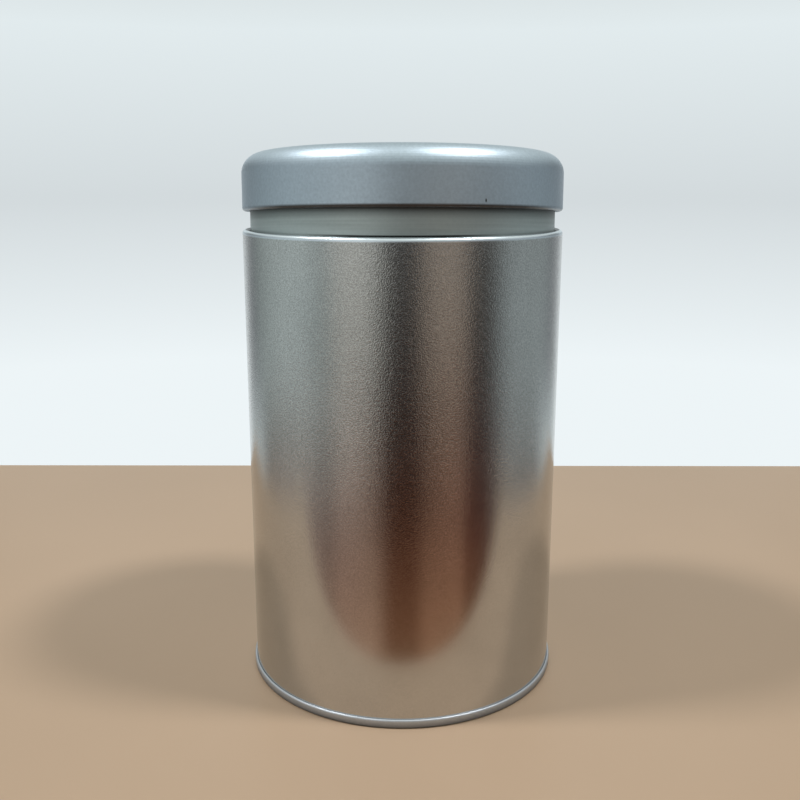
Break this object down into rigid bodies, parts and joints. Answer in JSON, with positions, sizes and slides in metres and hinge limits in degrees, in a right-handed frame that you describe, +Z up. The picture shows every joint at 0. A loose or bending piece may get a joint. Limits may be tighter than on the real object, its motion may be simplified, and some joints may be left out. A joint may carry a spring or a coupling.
{
  "type": "tin can",
  "caption": "Round tinplate canister with a folded base seam, a rolled rim and a plug lid, standing with its lid partly drawn out and tilted up at the front.",
  "frame": {"origin": "centre of the can's foot, on the surface that it stands on", "axes": "+Z up along the can's axis, -Y to the front, where the lid is raised, +X to the right as seen from the front"},
  "size_m": [0.0862, 0.0863, 0.1444],
  "materials": {
    "body_tinplate": "frosted bright tinplate with a fine grain",
    "base_tinplate": "satin tinplate",
    "lid_silver": "satin silver, slightly blue",
    "plug_tinplate": "plain satin tinplate"
  },
  "bodies": {
    "can": {"body_shell": "body_tinplate", "bottom_end": "base_tinplate"},
    "lid": {"lid_cap": "lid_silver", "lid_plug": "plug_tinplate"}
  },
  "joints": [
    {"name": "lid_lift", "type": "slide", "parent": "can", "child": "lid", "axis": [0, 0.0558, 0.9984], "range_m": [0, 0.1]}
  ]
}
